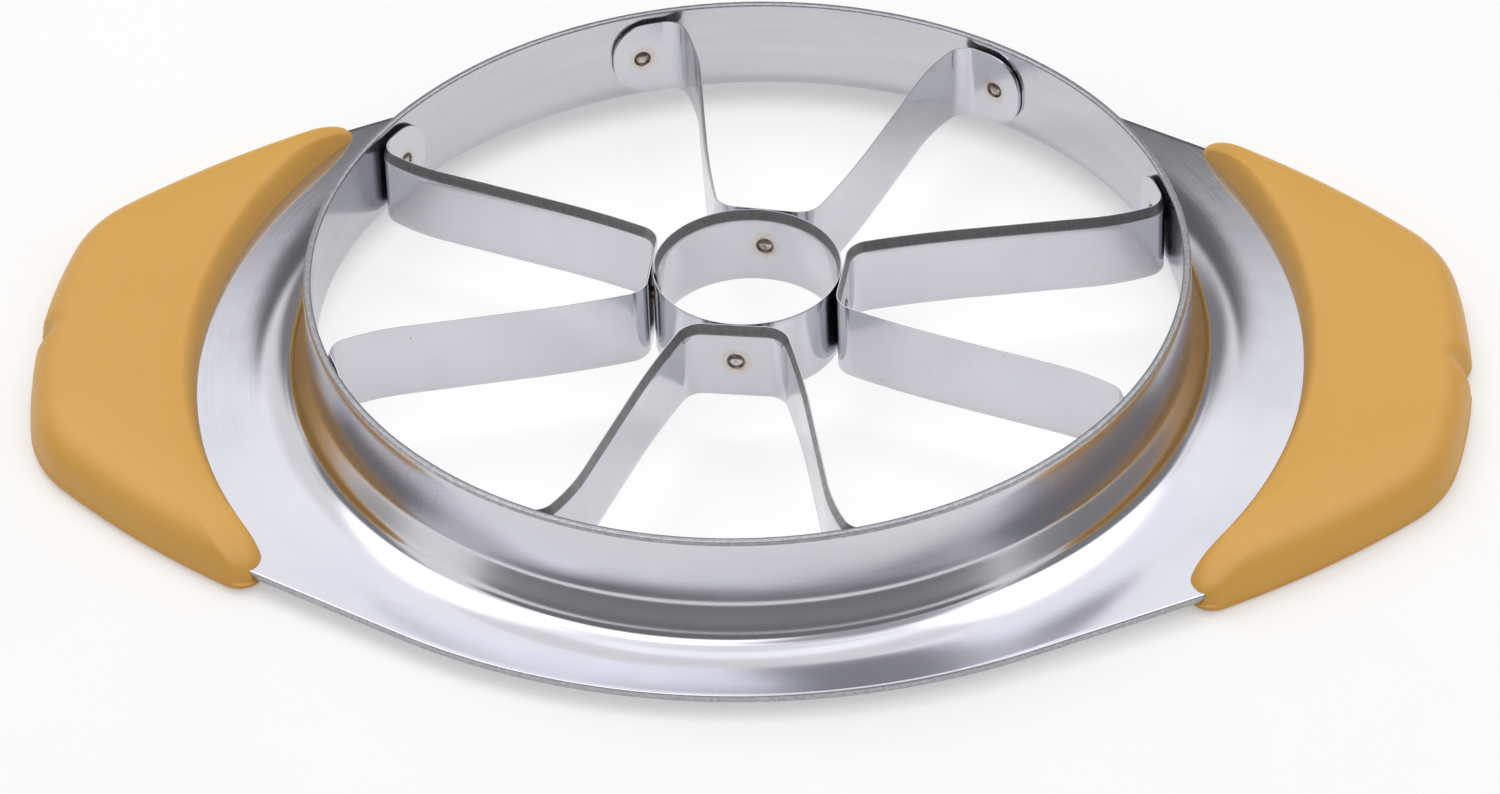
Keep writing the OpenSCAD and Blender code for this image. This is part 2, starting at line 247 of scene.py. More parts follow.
def cut(obj, cutter):
    """Takes the cutter's solid out of obj and removes the cutter."""
    change = obj.modifiers.new("cut", "BOOLEAN")
    change.operation = "DIFFERENCE"
    change.solver = "EXACT"
    change.object = cutter
    depsgraph = bpy.context.evaluated_depsgraph_get()
    mesh = bpy.data.meshes.new_from_object(obj.evaluated_get(depsgraph))
    obj.modifiers.clear()
    obj.data = mesh
    bpy.data.objects.remove(cutter)


def along(path, spacing):
    """The path's polyline taken again with points that lie about spacing apart."""
    lengths = np.concatenate([[0], np.cumsum(np.linalg.norm(np.diff(path, axis=0), axis=1))])
    steps = max(2, round(lengths[-1] / spacing))
    at = np.linspace(0, lengths[-1], steps + 1)
    return np.stack([np.interp(at, lengths, path[:, i]) for i in range(path.shape[1])], -1)


def softened(path, reach):
    """The path with its corners rounded over about reach points each way, ends kept."""
    kernel = np.exp(-0.5 * (np.arange(-2 * reach, 2 * reach + 1) / (reach / 1.5)) ** 2)
    kernel /= kernel.sum()
    start = 2 * path[0] - path[2 * reach:0:-1]
    end = 2 * path[-1] - path[-2:-2 * reach - 2:-1]
    padded = np.concatenate([start, path, end])
    return np.stack([np.convolve(padded[:, i], kernel, "valid") for i in range(path.shape[1])], -1)


def dress(obj, node, slot, *materials):
    """Makes obj the look of a CAD node, with those materials. The slot is not used."""
    for material in materials:
        obj.data.materials.append(material)
    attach(obj, "root")
    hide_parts(node)


def keep_values(obj, name, values):
    """Keeps a number for each vertex, which a material reads."""
    layer = obj.data.attributes.new(name, "FLOAT", "POINT")
    layer.data.foreach_set("value", values.astype(np.float32))


def vertices_mm(obj):
    return np.array([v.co for v in obj.data.vertices]) / MM


# ---- material building ----
MIX_A, MIX_B, MIX_RESULT = 6, 7, 2       # the Mix node's colour sockets


class Tree:
    """A short way to write a material's nodes."""

    def __init__(self, name):
        self.material = bpy.data.materials.new(name)
        self.material.use_nodes = True
        self.nodes = self.material.node_tree.nodes
        self.links = self.material.node_tree.links
        self.shader = self.nodes["Principled BSDF"]
        self.place = self.nodes.new("ShaderNodeTexCoord").outputs["Object"]

    def feed(self, socket, value):
        if isinstance(value, bpy.types.NodeSocket):
            self.links.new(value, socket)
        else:
            socket.default_value = value

    def math(self, operation, a, b=0.0):
        node = self.nodes.new("ShaderNodeMath")
        node.operation = operation
        self.feed(node.inputs[0], a)
        self.feed(node.inputs[1], b)
        return node.outputs[0]

    def split(self, vector):
        """A vector's three coordinates."""
        node = self.nodes.new("ShaderNodeSeparateXYZ")
        self.links.new(vector, node.inputs[0])
        return node.outputs

    def stretched(self, x, y, z):
        """The object's coordinates multiplied by x, y and z."""
        node = self.nodes.new("ShaderNodeVectorMath")
        node.operation = "MULTIPLY"
        self.links.new(self.place, node.inputs[0])
        node.inputs[1].default_value = (x, y, z)
        return node.outputs[0]

    def noise(self, vector, scale, detail=3.0, roughness=0.55):
        node = self.nodes.new("ShaderNodeTexNoise")
        self.feed(node.inputs["Vector"], vector)
        node.inputs["Scale"].default_value = scale
        node.inputs["Detail"].default_value = detail
        node.inputs["Roughness"].default_value = roughness
        return node.outputs["Fac"]

    def specks(self, vector, scale, size):
        """1 in sparse round specks and 0 elsewhere."""
        node = self.nodes.new("ShaderNodeTexVoronoi")
        self.feed(node.inputs["Vector"], vector)
        node.inputs["Scale"].default_value = scale
        near = self.remap(node.outputs["Distance"], size, 0.6 * size)
        pick = self.nodes.new("ShaderNodeSeparateColor")
        self.links.new(node.outputs["Color"], pick.inputs[0])
        return self.math("MULTIPLY", near, self.remap(pick.outputs[0], 0.80, 0.86))

    def remap(self, value, low, high, to_low=0.0, to_high=1.0):
        node = self.nodes.new("ShaderNodeMapRange")
        node.interpolation_type = "SMOOTHSTEP"
        self.feed(node.inputs["Value"], value)
        node.inputs["From Min"].default_value = low
        node.inputs["From Max"].default_value = high
        self.feed(node.inputs["To Min"], to_low)
        self.feed(node.inputs["To Max"], to_high)
        return node.outputs[0]

    def mix(self, share, a, b):
        node = self.nodes.new("ShaderNodeMix")
        node.data_type = "RGBA"
        self.feed(node.inputs["Factor"], share)
        self.feed(node.inputs[MIX_A], colour(a))
        self.feed(node.inputs[MIX_B], colour(b))
        return node.outputs[MIX_RESULT]

    def attribute(self, name):
        node = self.nodes.new("ShaderNodeAttribute")
        node.attribute_name = name
        return node.outputs["Fac"]

    def bump(self, height, distance, normal=None):
        """A relief as deep as distance, in millimetres, on top of the one in normal."""
        node = self.nodes.new("ShaderNodeBump")
        node.inputs["Distance"].default_value = distance * MM
        self.feed(node.inputs["Height"], height)
        if normal:
            self.links.new(normal, node.inputs["Normal"])
        return node.outputs[0]

    def finish(self, **values):
        for name, value in values.items():
            socket = self.shader.inputs[name.replace("_", " ")]
            self.feed(socket, colour(value) if name == "Base_Color" else value)
        return self.material


def colour(value):
    return value if isinstance(value, bpy.types.NodeSocket) else (*value, 1.0)[:4]


def round_the_axis(tree, slow, fast):
    """Coordinates in which noise makes streaks that run round the collar, on wall and flat."""
    x, y, z = tree.split(tree.place)
    squares = [tree.math("MULTIPLY", side, side) for side in (x, y)]
    level = tree.math("ADD", tree.math("SQRT", tree.math("ADD", *squares)), z)
    joined = tree.nodes.new("ShaderNodeCombineXYZ")
    for socket, side, scale in zip(joined.inputs, (x, y, level), (slow, slow, fast)):
        tree.links.new(tree.math("MULTIPLY", side, scale), socket)
    return joined.outputs[0]


def sheet_steel():
    """Satin polished sheet, with fine streaks round the collar, faint clouds and a few pits."""
    t = Tree("satin_sheet_steel")
    streaks = t.noise(round_the_axis(t, 25, 5000), 1, 4, 0.65)
    clouds = t.noise(t.place, 60, 3)
    pits = t.specks(t.place, 150, 0.035)
    base = t.mix(t.remap(clouds, 0.3, 0.75), (0.63, 0.63, 0.665), (0.60, 0.60, 0.64))
    base = t.mix(t.math("MULTIPLY", pits, 0.55), base, (0.22, 0.21, 0.20))
    height = t.split(t.place)[2]
    drawn = t.remap(height, (PLATE_Z + 0.6) * MM, (PLATE_Z + 4.0) * MM, 0.0, 0.10)
    rough = t.math("ADD", t.remap(clouds, 0.3, 0.8, 0.10, 0.14),
                   t.math("ADD", drawn, t.remap(streaks, 0.35, 0.8, 0.0, 0.03)))
    fine = t.bump(streaks, 0.002, t.bump(clouds, 0.02))
    return t.finish(Base_Color=base, Metallic=1.0, Roughness=rough, Normal=fine)


def inner_steel():
    """The drawn inside of the collar: duller, with scuffs up and down and a few smears."""
    t = Tree("drawn_inner_steel")
    scuffs = t.noise(t.stretched(1, 1, 0.2), 700, 4, 0.6)
    smears = t.noise(round_the_axis(t, 40, 400), 1, 3)
    base = t.mix(t.remap(smears, 0.3, 0.75), (0.625, 0.625, 0.655), (0.585, 0.585, 0.615))
    base = t.mix(t.remap(scuffs, 0.60, 0.78, 0.0, 0.08), base, (0.42, 0.42, 0.44))
    rough = t.remap(scuffs, 0.3, 0.75, 0.15, 0.20)
    return t.finish(Base_Color=base, Metallic=1.0, Roughness=rough,
                    Normal=t.bump(scuffs, 0.0015, t.bump(smears, 0.01)))


def cut_steel():
    """A sheared edge: a matte land with small nicks that catch the light."""
    t = Tree("sheared_steel")
    grain = t.noise(t.place, 2200, 4, 0.6)
    nicks = t.specks(t.place, 600, 0.16)
    base = t.mix(t.remap(grain, 0.35, 0.7), (0.36, 0.36, 0.38), (0.47, 0.47, 0.49))
    base = t.mix(t.math("MULTIPLY", nicks, 0.5), base, (0.14, 0.14, 0.15))
    rough = t.remap(grain, 0.3, 0.7, 0.42, 0.28)
    return t.finish(Base_Color=base, Metallic=1.0, Roughness=rough,
                    Normal=t.bump(t.math("SUBTRACT", grain, nicks), 0.02))


def heat_tint(t, base):
    """A straw halo and a thin brown ring round each weld, by the distance in heat_mm."""
    ragged = t.remap(t.noise(t.place, 900, 3), 0.3, 0.7, -0.2, 0.2)
    reach = t.math("ADD", t.attribute("heat_mm"), ragged)
    base = t.mix(t.remap(reach, 2.3, 1.3, 0.0, 0.42), base, (0.58, 0.46, 0.30))
    return t.mix(t.remap(reach, 1.40, 1.10, 0.0, 0.55), base, (0.33, 0.21, 0.12))


def strip_steel():
    """Cold-rolled strip: smooth, with faint marks across it, freckles and heat tint."""
    t = Tree("rolled_strip_steel")
    marks = t.noise(t.stretched(1, 1, 0.08), 1500, 3, 0.55)
    clouds = t.noise(t.place, 110, 3)
    freckles = t.specks(t.place, 420, 0.06)
    base = t.mix(t.remap(clouds, 0.3, 0.75), (0.665, 0.67, 0.705), (0.635, 0.64, 0.675))
    base = t.mix(t.remap(marks, 0.58, 0.80, 0.0, 0.07), base, (0.44, 0.44, 0.46))
    base = heat_tint(t, base)
    base = t.mix(t.math("MULTIPLY", freckles, 0.7), base, (0.14, 0.13, 0.13))
    rough = t.math("ADD", t.remap(marks, 0.3, 0.7, 0.12, 0.16), t.remap(clouds, 0.4, 0.7, 0.0, 0.04))
    return t.finish(Base_Color=base, Metallic=1.0, Roughness=rough,
                    Normal=t.bump(marks, 0.004, t.bump(clouds, 0.02)))


def ground_steel():
    """The ground bevel: dark, with grinding marks square to the edge."""
    t = Tree("ground_edge_steel")
    marks = t.noise(t.stretched(1, 1, 0.05), 3200, 4, 0.7)
    broad = t.noise(t.stretched(1, 1, 0.10), 600, 3)
    base = t.mix(t.remap(marks, 0.35, 0.7), (0.27, 0.26, 0.255), (0.345, 0.335, 0.33))
    base = t.mix(t.remap(broad, 0.45, 0.75, 0.0, 0.5), base, (0.375, 0.365, 0.36))
    rough = t.remap(marks, 0.3, 0.7, 0.40, 0.30)
    return t.finish(Base_Color=base, Metallic=1.0, Roughness=rough, Normal=t.bump(marks, 0.02))


def weld_steel():
    """Spot-weld metal: a bright mottled dome in a narrow dark ring, which is painted shade over the
    groove and rim.
    """
    t = Tree("spot_weld_steel")
    mottle = t.noise(t.place, 900, 2, 0.5)
    dome = t.mix(t.remap(mottle, 0.42, 0.62, 0.0, 0.85), (0.58, 0.56, 0.54), (0.30, 0.22, 0.16))
    edge = t.math("ADD", t.attribute("out_mm"), t.remap(mottle, 0.3, 0.7, -0.06, 0.06))
    # painted shade: near black over the groove and rim round the dome
    base = t.mix(t.remap(edge, 0.66, 0.80, 0.0, 0.85), dome, (0.10, 0.07, 0.055))
    rough = t.remap(mottle, 0.35, 0.65, 0.14, 0.28)
    return t.finish(Base_Color=base, Metallic=1.0, Roughness=rough, Normal=t.bump(mottle, 0.02))


def grip_plastic():
    """Satin moulded plastic: a fine skin, faint flow clouds, specks and short scratches, and painted
    shade that darkens the rounded edges.
    """
    t = Tree("satin_grip_plastic")
    clouds = t.noise(t.place, 35, 2)
    edge = t.attribute("edge_shade_mm")
    flush = t.mix(t.remap(clouds, 0.3, 0.75), (0.76, 0.415, 0.080), (0.735, 0.395, 0.074))
    # painted shade: a darker, deeper orange over the rounded edges, by the distance in from the
    # outline
    base = t.mix(t.remap(edge, 2.6, 0.2, 0.0, 0.30), flush, (0.68, 0.335, 0.045))
    scratch = t.noise(t.stretched(0.3, 1.0, 1.0), 900, 2)
    base = t.mix(t.remap(scratch, 0.74, 0.82, 0.0, 0.25), base, (0.80, 0.55, 0.25))
    base = t.mix(t.math("MULTIPLY", t.specks(t.place, 120, 0.022), 0.6), base, (0.28, 0.13, 0.04))
    base = t.mix(t.remap(t.attribute("gate"), 0.4, 0.8), base, (0.74, 0.55, 0.30))
    skin = t.noise(t.place, 2400, 3, 0.6)
    rough = t.math("ADD", t.remap(skin, 0.3, 0.7, 0.36, 0.44), t.remap(clouds, 0.3, 0.7, 0.0, 0.05))
    return t.finish(Base_Color=base, Roughness=rough, Subsurface_Weight=0.08, Subsurface_Scale=2 * MM,
                    Specular_IOR_Level=0.4, Normal=t.bump(skin, 0.008, t.bump(clouds, 0.1)))


# ---- the plate with its collar ----
RIM_BAND = 1.6                           # height over which the rim rolls in
RIM_ROLL = 0.16                          # how far it rolls in
OUT_TOP, IN_TOP = RIM_Z - 0.5, RIM_Z - 0.3  # where the rim's lip starts, outside and inside
FLARE_H = 2.6                            # the collar's wall flares over this height, down to the bead
FLARE_CURVE = 1.05                       # power of the flare's curve; 1 is a plain cone
FLARE_Z = PLATE_Z + BEAD_H + FLARE_H
BURR = 0.02                              # size of the burrs along sheared edges
LAND_ROW, BURR_ROW = 3, 8                # rows of edge_profile() where the land and the burr are
CUT, OUTER, INNER = 0, 1, 2              # order of the plate's materials


def wall_radius(z):
    return RIM_R - RIM_ROLL * np.clip((z - RIM_Z + RIM_BAND) / RIM_BAND, 0, 1) ** 2


def bend(p, q, steps):
    """A bend from p to q that starts upright, in radius and height."""
    a = np.radians(np.linspace(0, BEND_TURN, steps + 1))
    turn = math.radians(BEND_TURN)
    return np.stack([p[0] + (q[0] - p[0]) * (1 - np.cos(a)) / (1 - math.cos(turn)),
                     p[1] + (q[1] - p[1]) * np.sin(a) / math.sin(turn)], -1)


def collar_outside():
    """Radius and height from under the rim's lip down to the foot, with rounded corners."""
    z = np.linspace(OUT_TOP, FLARE_Z, 60)
    down = np.linspace(0, 1, 60)
    flare = np.stack([RIM_R + BEAD_OUT * down ** FLARE_CURVE, FLARE_Z - FLARE_H * down], -1)
    foot = bend((BEAD_R, PLATE_Z + BEAD_H), (FOOT_R, FOOT_Z), 40)
    path = np.concatenate([np.stack([wall_radius(z), z], -1), flare[1:], foot[1:]])
    return softened(along(path, 0.16), 3)[:: 1 if FINE == 1 else 2]


def plate_height(radius):
    share = np.clip((radius - FOOT_R) / DISH_W, 0, 1)
    return PLATE_Z + DISH_RISE * (1 - share) ** 3


def rim_profile():
    """The sheared rim from the inner wall over a lip to the outer wall, as offsets."""
    return np.array([(0.0, -0.18), (0.05, -0.07), (0.14, -0.01), (0.30, 0.0), (0.52, 0.0),
                     (0.66, -0.03), (0.75, -0.07), (0.80, -0.14), (0.83, -0.22), (0.84, -0.34)])


def edge_profile():
    """The plate's sheared edge from top to bottom: die roll, land, fracture and burr."""
    return np.array([(-0.34, 0.0), (-0.20, -0.02), (-0.09, -0.08), (-0.02, -0.20), (0.0, -0.32),
                     (-0.01, -0.55), (-0.05, -0.75), (-0.06, -0.92), (-0.10, -0.99), (-0.25, -1.0)])


def steel_plate():
    turn = np.linspace(0, 2 * np.pi, count(1000), endpoint=False)
    reach = plate_radius(turn)
    ways = np.stack([np.cos(turn), np.sin(turn)], -1)
    sections, kinds = [], []

    def line(radius, z):
        """A closed line of points at that distance from the axis and that height."""
        radius, z = np.broadcast_to(radius, turn.shape), np.broadcast_to(z, turn.shape)
        return np.stack([ways[:, 0] * radius, ways[:, 1] * radius, z], -1)

    def add(radius, z, kind):
        sections.append(line(radius, z))
        kinds.append(kind)

    for number, (out, up) in enumerate(rim_profile()):
        rough = BURR * wobble(line(RIM_R, 0.0), 0.8, number // 2) * (0.2 if number < 2 else 1.0)
        add(WALL_IN + out + 0.5 * rough, RIM_Z + np.minimum(up + rough - BURR / 2, 0), CUT)
    for radius, z in collar_outside():
        add(radius, z, OUTER)
    edge = edge_profile()
    for share in (np.linspace(0, 1, count(44) + 1)[1:]) ** 1.7:
        radius = FOOT_R + (reach + edge[0, 0] - FOOT_R) * share
        add(radius, plate_height(radius), OUTER)
    for row, (out, up) in enumerate(edge[1:], 1):
        rough = BURR * wobble(line(reach, 0.0), 1.2, 19 + row) * (row > LAND_ROW)
        z = plate_height(reach) + up * SHEET_T + rough * (row == BURR_ROW)
        kind = CUT if row >= LAND_ROW else OUTER
        add(reach + out - np.abs(rough), np.maximum(z, PLATE_Z - SHEET_T), kind)
    for share in np.linspace(1, 0, count(20)) ** 1.5:
        radius = FOOT_R + (reach - 0.5 - FOOT_R) * share
        add(radius, plate_height(radius) - SHEET_T, INNER)
    inside = bend((WALL_IN, FLARE_Z - SHEET_T), (FOOT_R, FOOT_Z - SHEET_T), count(30))[-2::-1]
    for radius, z in inside:
        add(radius, z, INNER)
    for z in np.linspace(FLARE_Z - SHEET_T, IN_TOP, count(16))[1:]:
        add(WALL_IN, z, INNER)
    rings = np.stack(sections, 1)
    obj = make_object("steel_plate", rings, loft(rings, True), sharp=50)
    kind_of_face = np.minimum(kinds, np.roll(kinds, -1))
    order = np.tile(kind_of_face, len(turn))
    obj.data.polygons.foreach_set("material_index", order.astype(np.int32))
    return obj


# ---- blades and core ring: ground, drilled strips ----
STRIP_SHARP = 30                         # a strip's edges over this angle stay sharp
ROUND_R = 0.07                           # rounding of a strip's lower edges
ROUND_MID = 0.3 * ROUND_R                # how near to the corner the rounding's middle is
TIP_W, TIP_H = 0.02, 0.05                # rounding at the plain side of a cutting edge
BEVEL_HOLLOW = 0.05                      # a ground bevel is hollow by a quarter of this
BEVEL_FOOT = EDGE_Z - GROUND_H + 0.02    # a bevel's faces have their middle over this height
BEVEL_STEEP = (0.1, 0.9)                 # and a normal whose upward share is between these
EDGE_WAVE, EDGE_WAVE_LEN = 0.025, 9.0    # how a blade's edges wander up and down
SEAM_SPRING, SEAM_REACH = 0.25, 25.0     # how far one end springs in, over how many degrees


def left_of(a):
    return polar(1, a + 90)


def turn_of(length):
    return math.degrees(length / TAB_R)


def strip_turns(a):
    """Centres of the pad's bend, the bow, the lead and the tab's bend, for an arm at angle a."""
    pad_r = PAD_BEND_R + BLADE_T
    pad_c = (np.array([PAD_X, PAD_W / 2])
             + pad_r * np.array([1, -math.tan(math.radians(45 - (a + BOW_TURN) / 2))]))
    bow_c = pad_c + (pad_r - BOW_R) * left_of(a + BOW_TURN)
    step = (LEAD_R - TAB_BEND_R) * left_of(a + LEAD_TURN)
    p, way = bow_c + (BOW_R + LEAD_R) * left_of(a) - step, polar(1, a)
    side = p @ left_of(a)
    tab_c = p + way * (math.sqrt((TAB_R - TAB_BEND_R) ** 2 - side**2) - p @ way)
    return pad_c, bow_c, tab_c + step, tab_c


def tab_end(a):
    return angle_of(strip_turns(a)[3]) + turn_of(TAB_LEN)


def weld_turn(a):
    return tab_end(a) - turn_of(WELD_INSET)


def half_strip(a):
    """Stations from a tab's rounded end to the middle of the pad: place on the plain face,
    way to the ground face, and half the height there."""
    pad_c, bow_c, lead_c, tab_c = strip_turns(a)
    half = BLADE_H / 2
    rows = []

    def turn_rows(centre, radius, start, end, side, steps):
        for q in np.linspace(start, end, count(steps) + 1)[1:]:
            rows.append((*(centre + polar(radius, q)), *polar(side, q), half))

    for t in np.radians(np.linspace(0, 90, count(16) + 1)):
        q = tab_end(a) - turn_of(TAB_ROUND * (1 - math.cos(t)))
        rows.append((*polar(TAB_R, q), *polar(1, q), half - TAB_ROUND * (1 - math.sin(t))))
    turn_rows((0, 0), TAB_R, tab_end(a) - turn_of(TAB_ROUND), angle_of(tab_c), 1, 8)
    turn_rows(tab_c, TAB_BEND_R, angle_of(tab_c), a + LEAD_TURN - 90, 1, 20)
    turn_rows(lead_c, LEAD_R, a + LEAD_TURN - 90, a - 90, 1, 16)
    straight = lead_c + polar(LEAD_R, a - 90), bow_c + polar(BOW_R, a + 90)
    for s in np.linspace(0, 1, count(30) + 1)[1:]:
        rows.append((*(straight[0] + (straight[1] - straight[0]) * s), *polar(1, a - 90), half))
    turn_rows(bow_c, BOW_R, a + 90, a + 90 + BOW_TURN, -1, 22)
    turn_rows(pad_c, PAD_BEND_R + BLADE_T, a + 90 + BOW_TURN, 180, -1, 18)
    for y in np.linspace(pad_c[1], 0, count(8))[1:]:
        rows.append((PAD_X, y, 1.0, 0.0, half))
    return np.array(rows)


def strip_section(half):
    """Loop of (depth from the plain face, height) for a strip of half that height."""
    shoulder = min(half, BLADE_H / 2 - GROUND_H)
    tip = BLADE_T + (EDGE_T - BLADE_T) * max(0, half - shoulder) / GROUND_H
    rise = np.linspace(-1, 1, 15)
    up = [(0.0, (half - ROUND_R) * s) for s in rise[:-1]] + [(0.0, half - ROUND_MID)]
    bevel = [(tip + (BLADE_T - tip) * s - BEVEL_HOLLOW * s * (1 - s), half + (shoulder - half) * s)
             for s in np.linspace(0, 1, 6)]
    down = [(BLADE_T, shoulder + (-half + ROUND_R - shoulder) * s) for s in np.linspace(0, 1, 12)[1:]]
    bottom = [(BLADE_T - ROUND_MID, -half + ROUND_MID), (BLADE_T - ROUND_R, -half),
              (ROUND_R, -half), (ROUND_MID, -half + ROUND_MID)]
    return np.array(up + [(TIP_W, half)] + bevel + down + bottom)


def placed_at(seat, points):
    """Points given on a seat's own axes, on the frame's axes."""
    return points @ np.array(seat.to_3x3()).T + np.array(seat.translation)


def drill(seat, depth):
    """A round cutter for a weld's hole, which reaches that far to both sides of the seat."""
    loop = polar(WELD_R, np.linspace(0, 360, 48, endpoint=False))
    rings = placed_at(seat, np.array([[(x, y, z) for x, y in loop] for z in (-depth, depth)]))
    return make_object("drill", rings, loft(rings, False))


def seat_at(degrees, distance):
    """A seat at that distance from the axis, with its Z outwards."""
    return (Matrix.Rotation(math.radians(degrees), 4, "Z")
            @ Matrix.Translation((distance, 0, WELD_Z))
            @ Matrix.Rotation(math.radians(90), 4, "Y"))


def finish_strip(obj, node, seats, thickness):
    """Drills a strip's weld holes and dresses it, with heat tint there and a ground bevel."""
    for seat in seats:
        cut(obj, drill(seat, 2 * thickness))
    smooth(obj, STRIP_SHARP)
    points = vertices_mm(obj)
    reach = [np.linalg.norm(points - np.array(seat.translation), axis=1) for seat in seats]
    keep_values(obj, "heat_mm", np.min(reach, axis=0))
    dress(obj, node, "blade_steel", MATERIALS["strip"], MATERIALS["ground"])
    for face in obj.data.polygons:
        steep = BEVEL_STEEP[0] < abs(face.normal.z) < BEVEL_STEEP[1]
        face.material_index = int(steep and face.center.z > BEVEL_FOOT * MM)


def blade(side):
    turn, spread = BLADES[side]
    path = half_strip(spread)
    mirrored = path[-2::-1] * np.array([1, -1, 1, -1, 1])
    path = np.concatenate([path, mirrored])
    rings = []
    for x, y, way_x, way_y, half in path:
        depth, height = strip_section(half).T
        rings.append(np.stack([x + way_x * depth, y + way_y * depth, WELD_Z + height], -1))
    rings = np.array(rings)
    rings[..., 2] += EDGE_WAVE * wobble(rings * np.array([1, 1, 0.4]), EDGE_WAVE_LEN, len(side))
    spin = np.array(Matrix.Rotation(math.radians(turn), 3, "Z"))
    rings = rings @ spin.T
    obj = make_object(side + "_blade", rings, loft(rings, False), STRIP_SHARP)
    seats = [seat_at(turn + weld_turn(spread), WALL_IN), seat_at(turn - weld_turn(spread), WALL_IN),
             seat_at(turn, RING_R)]
    finish_strip(obj, "blade_" + side, seats, BLADE_T)


def rolled_ring():
    gap = math.degrees(SEAM_GAP / 2 / RING_R)
    turns = np.linspace(SEAM_ANGLE + gap, SEAM_ANGLE + 360 - gap, count(300))
    rings = []
    for q in turns:
        radius, z = ring_section().T
        radius = radius - SEAM_SPRING * max(0, 1 - (SEAM_ANGLE + 360 - gap - q) / SEAM_REACH) ** 2
        rings.append(np.column_stack([polar(1, q) * radius[:, None], z]))
    rings = np.array(rings)
    obj = make_object("rolled_ring", rings, loft(rings, False), STRIP_SHARP)
    seats = [seat_at(turn, RING_R) for turn, _ in BLADES.values()]
    finish_strip(obj, "core_ring", seats, RING_T)


def ring_section():
    """Loop of (distance from the axis, height), from the outer wall's foot over the edge."""
    low, inside = EDGE_Z - RING_H, RING_R - RING_T
    up = [(RING_R, z) for z in np.linspace(low + ROUND_R, EDGE_Z - TIP_H, 12)]
    tip = [(RING_R - TIP_W, EDGE_Z), (RING_R - EDGE_T, EDGE_Z)]
    bevel = [(RING_R - EDGE_T + (inside - RING_R + EDGE_T) * s + BEVEL_HOLLOW * s * (1 - s),
              EDGE_Z - GROUND_H * s) for s in np.linspace(0, 1, 6)[1:]]
    down = [(inside, z) for z in np.linspace(EDGE_Z - GROUND_H, low + ROUND_R, 10)[1:]]
    bottom = [(inside + ROUND_MID, low + ROUND_MID), (inside + ROUND_R, low),
              (RING_R - ROUND_R, low), (RING_R - ROUND_MID, low + ROUND_MID)]
    return np.array(up + tip + bevel + down + bottom)


# ---- spot welds ----
# Half section of a weld's face: share of its radius, and height above the strip
WELD_FACE = [(1.0, 0.0), (0.98, 0.05), (0.94, 0.08), (0.89, 0.07), (0.84, 0.0), (0.80, -0.06),
             (0.75, -0.07), (0.68, -0.02), (0.56, 0.06), (0.42, 0.11), (0.28, 0.135), (0.15, 0.14),
             (0.10, 0.12), (0.07, 0.02), (0.0, 0.0)]
WELD_ROUGH, WELD_GRAIN = 0.02, 0.7       # depth and size of the unevenness inside the rim
WELD_RIM = 0.98                          # share of the radius where that ends


def weld(name, node, seat, low, high, open_both, seed):
    """A nugget from its inner face at low to its outer face at high."""
    face = np.array(WELD_FACE)
    inner = np.stack([face[::-1, 0] * WELD_R, low - face[::-1, 1]], -1)
    outer = np.stack([face[:, 0] * WELD_R, high + face[:, 1]], -1)
    if not open_both:
        outer = np.array([(WELD_R, high), (0.0, high)])
    profile = np.concatenate([inner, outer])
    turns = np.radians(np.linspace(0, 360, count(48), endpoint=False))
    rings = np.array([[(r * math.cos(q), r * math.sin(q), z) for r, z in profile] for q in turns])
    inside = np.hypot(rings[..., 0], rings[..., 1]) < WELD_RIM * WELD_R
    rings[..., 2] += WELD_ROUGH * wobble(rings, WELD_GRAIN, seed) * inside
    m, n = rings.shape[:2]
    faces = [(k * n + i, (k + 1) % m * n + i, (k + 1) % m * n + i + 1, k * n + i + 1)
             for k in range(m) for i in range(n - 1)]
    obj = make_object(name, average_poles(placed_at(seat, rings)), faces, sharp=60)
    own = (vertices_mm(obj) - seat.translation) @ seat.to_3x3()
    # the distance from the weld's axis, by which the material paints shade over the groove and rim
    keep_values(obj, "out_mm", np.hypot(own[:, 0], own[:, 1]))
    dress(obj, node, "weld_steel", MATERIALS["weld"])


def average_poles(rings):
    """Joins the points on the axis at both ends of a turned profile."""
    for end in (0, -1):
        rings[:, end] = rings[:, end].mean(0)
    return rings


def welds():
    for k, (turn, spread) in enumerate(BLADES.values()):
        for j, sign in enumerate((1, -1)):
            number = 2 * k + j + 1
            seat = seat_at(turn + sign * weld_turn(spread), WALL_IN)
            weld(f"tab_weld_{number}", f"rim_weld_{number}", seat,
                 -TAB_GAP - BLADE_T, 0.0, False, number)
        weld(f"pad_weld_{k + 1}", f"hub_weld_{k + 1}", seat_at(turn, RING_R),
             -RING_T, PAD_GAP + BLADE_T, True, 20 + k)


# ---- grips ----
ROUNDNESS = 2.2                          # power of the curve over a grip's shoulder
PARTING = 0.10                           # how far a grip's sides lie inside its parting lip
LIP_TOP = 1.4                            # height at which the rounding ends, over the lip
LIP_LEVELS = (1.24, 1.08, 0.98)          # heights of the lip's two edges and of the side under it
LEAST_NOSE = 1.2                         # radius that a nose keeps where it is drawn in
NOSE_SHARE = 0.25                        # how much of the draw-in a nose's radius loses
OUTER_MORE = 0.35                        # how much wider the outer edge is rounded
INNER_SHARE = 0.60                       # rounding of a grip's inner edge, of the outer edge's
NOTCH_DIP = 1.3                          # depth of the notch at its middle, as moulded
GATE_AT, GATE_SIZE = (0.0, 2.3), (0.5, 0.8)  # the gate's stub in the notch, in y and z
GATE_OUT, GATE_ROUGH = 0.30, 0.15        # how far the stub stands out, and how unevenly


